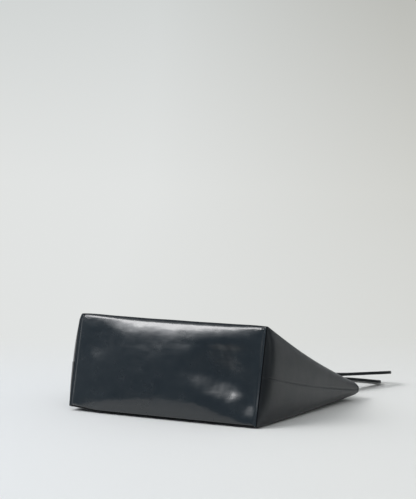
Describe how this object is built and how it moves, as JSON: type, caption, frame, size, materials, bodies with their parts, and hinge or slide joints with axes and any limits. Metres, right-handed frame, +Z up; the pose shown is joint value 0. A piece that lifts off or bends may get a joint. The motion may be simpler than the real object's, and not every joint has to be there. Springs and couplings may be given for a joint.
{
  "type": "tote bag",
  "caption": "Open-topped leather tote bag with a deep rectangular base, lying on its back panel with its mouth nearly closed and its two flat strap handles laid out past the mouth.",
  "frame": {"origin": "middle of the back panel's outer face, which lies on the floor", "axes": "+Y from the base to the mouth, +Z up from the back panel to the front panel, +X along the bag's width, to the right as seen from the base"},
  "size_m": [0.366, 0.4936, 0.1516],
  "materials": {
    "front_panel": "smooth leather with a soft sheen",
    "back_panel": "smooth leather with a soft sheen",
    "base_panel": "smooth leather, glossier",
    "base_board": "raw fibreboard",
    "front_facing": "matt",
    "back_facing": "matt",
    "left_seam_strip": "woven tape",
    "right_seam_strip": "woven tape",
    "front_left_strap_end": "semi-matt strap leather",
    "front_right_strap_end": "semi-matt strap leather",
    "back_left_strap_end": "semi-matt strap leather",
    "back_right_strap_end": "semi-matt strap leather",
    "front_handle_outer": "semi-matt strap leather",
    "front_handle_inner": "semi-matt strap leather",
    "back_handle_outer": "semi-matt strap leather",
    "back_handle_inner": "semi-matt strap leather"
  },
  "bodies": {
    "bag": {"front_panel": "front_panel", "back_panel": "back_panel", "base_panel": "base_panel", "base_board": "base_board", "front_facing": "front_facing", "back_facing": "back_facing", "left_seam_strip": "left_seam_strip", "right_seam_strip": "right_seam_strip", "front_left_strap_end": "front_left_strap_end", "front_right_strap_end": "front_right_strap_end", "back_left_strap_end": "back_left_strap_end", "back_right_strap_end": "back_right_strap_end"},
    "front_handle": {"front_handle_outer": "front_handle_outer", "front_handle_inner": "front_handle_inner"},
    "back_handle": {"back_handle_outer": "back_handle_outer", "back_handle_inner": "back_handle_inner"}
  },
  "joints": [
    {"name": "front_handle_hinge", "type": "hinge", "parent": "bag", "child": "front_handle", "pos_m": [0, 0.16856, 0.03961], "axis": [1, 0, 0], "range_deg": [0, 165]},
    {"name": "back_handle_hinge", "type": "hinge", "parent": "bag", "child": "back_handle", "pos_m": [0, 0.155, 0], "axis": [1, 0, 0], "range_deg": [-170, 0]}
  ]
}
